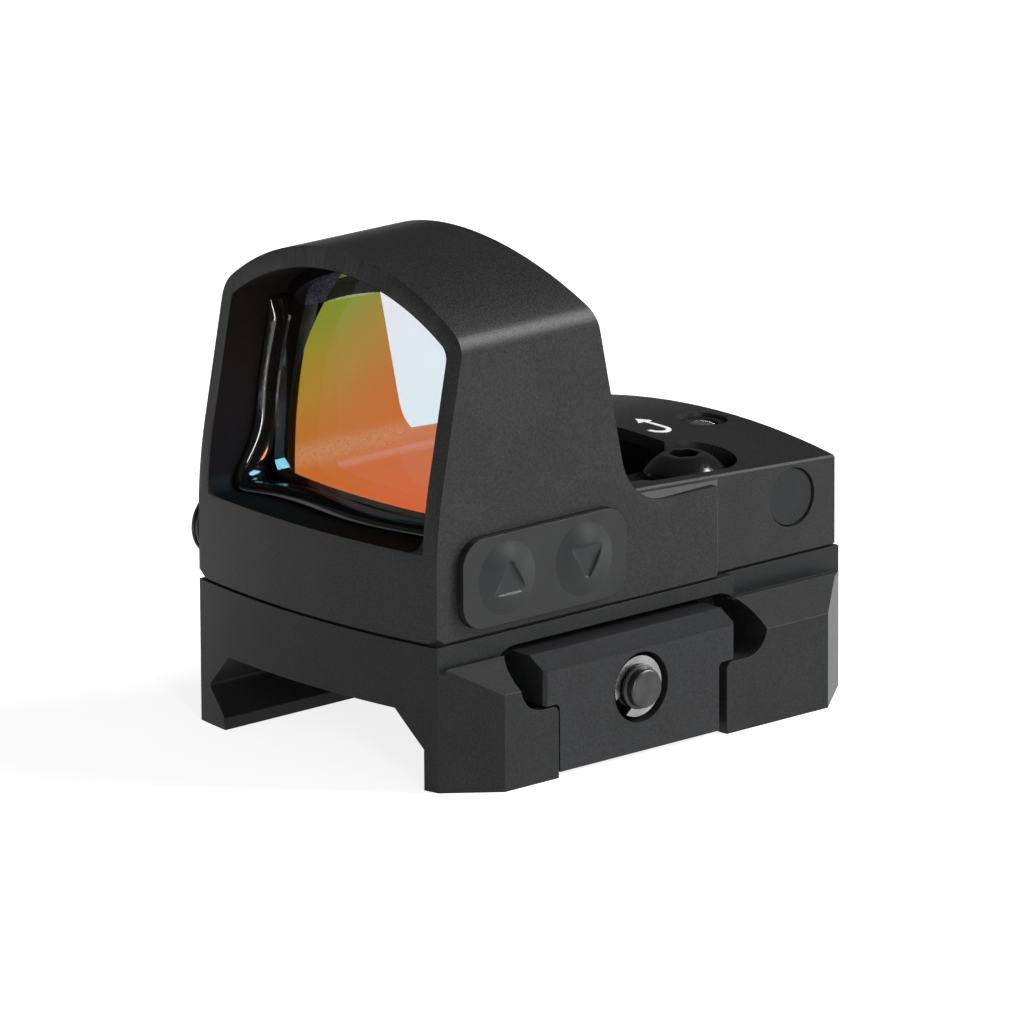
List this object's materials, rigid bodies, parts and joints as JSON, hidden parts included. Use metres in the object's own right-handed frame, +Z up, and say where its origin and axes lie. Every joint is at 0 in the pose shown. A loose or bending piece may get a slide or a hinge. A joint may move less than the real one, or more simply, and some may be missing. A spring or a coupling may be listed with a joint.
{
  "type": "red dot finder",
  "caption": "Compact open reflex red dot sight with an arched lens hood, side buttons and dot adjusters, on a base that clamps to a slotted accessory rail.",
  "frame": {"origin": "on the rail seat, the flat roof of the rail groove, mid-width, over the middle of the first rail land behind the cross bolt", "axes": "+X to the keypad and clamp side, +Y from the front window to the rear deck along the rail, +Z up away from the rail"},
  "size_m": [0.031, 0.0384, 0.0345],
  "materials": {
    "anodised_body": "bead-blasted black anodised aluminium",
    "anodised_base": "fine black anodised aluminium",
    "anodised_clamp": "fine black anodised aluminium",
    "black_steel": "blackened steel",
    "button_head_steel": "glossy black oxide steel",
    "spring_steel": "bright spring steel",
    "bright_steel": "bright steel",
    "nickel": "polished nickel plate",
    "coated_glass": "dichroic coated glass",
    "clear_plastic": "clear plastic",
    "sealant": "glossy black sealant",
    "pad_rubber": "matte silicone rubber",
    "button_rubber": "matte silicone rubber",
    "gasket_rubber": "matte rubber",
    "black_plastic": "fine matte plastic",
    "board": "green solder mask",
    "dome_steel": "bright sheet",
    "cell_steel": "bright nickel steel can",
    "gilt": "plated contact",
    "slide_alloy": "machined",
    "led_body": "epoxy",
    "plug_metal": "smooth black enamel",
    "mark_paint": "white paint"
  },
  "bodies": {
    "sight": {"rail_base": "anodised_base", "locating_pins": "bright_steel", "base_gasket": "gasket_rubber", "housing": "anodised_body", "bottom_cover": "black_plastic", "mount_screws": "button_head_steel", "lens": "coated_glass", "lens_seal": "sealant", "keypad": "pad_rubber", "switch_domes": "dome_steel", "switch_board": "board", "main_board": "board", "battery_contact": "gilt", "adjuster_seals": "gasket_rubber", "emitter_window": "clear_plastic", "bore_plug": "plug_metal", "direction_mark": "mark_paint"},
    "bolt": {"cross_bolt": "black_steel", "bolt_washer": "black_steel", "retaining_clip": "spring_steel"},
    "clamp": {"clamp_jaw": "anodised_clamp"},
    "brighter": {"up_button": "button_rubber"},
    "dimmer": {"down_button": "button_rubber"},
    "tray": {"battery_tray": "black_plastic", "tray_gasket": "gasket_rubber", "coin_cell": "cell_steel"},
    "tray_fastener": {"tray_screw": "black_steel"},
    "elevation": {"elevation_screw": "nickel"},
    "windage": {"windage_screw": "nickel"},
    "cross_slide": {"windage_slide": "slide_alloy"},
    "emitter": {"emitter_carriage": "slide_alloy", "led_emitter": "led_body"}
  },
  "joints": [
    {"name": "bolt_turn", "type": "hinge", "parent": "sight", "child": "bolt", "pos_m": [0, -0.005, -0.0004], "axis": [1, 0, 0], "range_deg": [-1081, 0]},
    {"name": "clamp_open", "type": "slide", "parent": "sight", "child": "clamp", "axis": [1, 0, 0], "range_m": [0, 0.0021]},
    {"name": "up_press", "type": "slide", "parent": "sight", "child": "brighter", "axis": [-1, 0, 0], "range_m": [0, 0.00035], "stiffness_N_per_m": 2000},
    {"name": "down_press", "type": "slide", "parent": "sight", "child": "dimmer", "axis": [-1, 0, 0], "range_m": [0, 0.00035], "stiffness_N_per_m": 2000},
    {"name": "tray_pull", "type": "slide", "parent": "sight", "child": "tray", "axis": [-1, 0, 0], "range_m": [0, 0.02]},
    {"name": "tray_screw_turn", "type": "hinge", "parent": "tray", "child": "tray_fastener", "pos_m": [-0.012, -0.01785, 0.00785], "axis": [-1, 0, 0], "range_deg": [0, 2880]},
    {"name": "elevation_turn", "type": "hinge", "parent": "sight", "child": "elevation", "pos_m": [0.0009, 0.01345, 0.01125], "axis": [0, 0, 1], "range_deg": [-541, 541]},
    {"name": "windage_turn", "type": "hinge", "parent": "sight", "child": "windage", "pos_m": [-0.0105, 0.01221, 0.00885], "axis": [1, 0, 0], "range_deg": [-541, 541]},
    {"name": "windage_shift", "type": "slide", "parent": "sight", "child": "cross_slide", "axis": [1, 0, 0], "range_m": [-0.00052, 0.00052]},
    {"name": "emitter_lift", "type": "slide", "parent": "cross_slide", "child": "emitter", "axis": [0, 0, 1], "range_m": [-0.00052, 0.00052]}
  ],
  "couplings": [
    {"joint": "bolt_turn", "follows": "clamp_open", "rad_per_m": -8976},
    {"joint": "elevation_turn", "follows": "emitter_lift", "rad_per_m": 17952},
    {"joint": "windage_turn", "follows": "windage_shift", "rad_per_m": -17952}
  ]
}
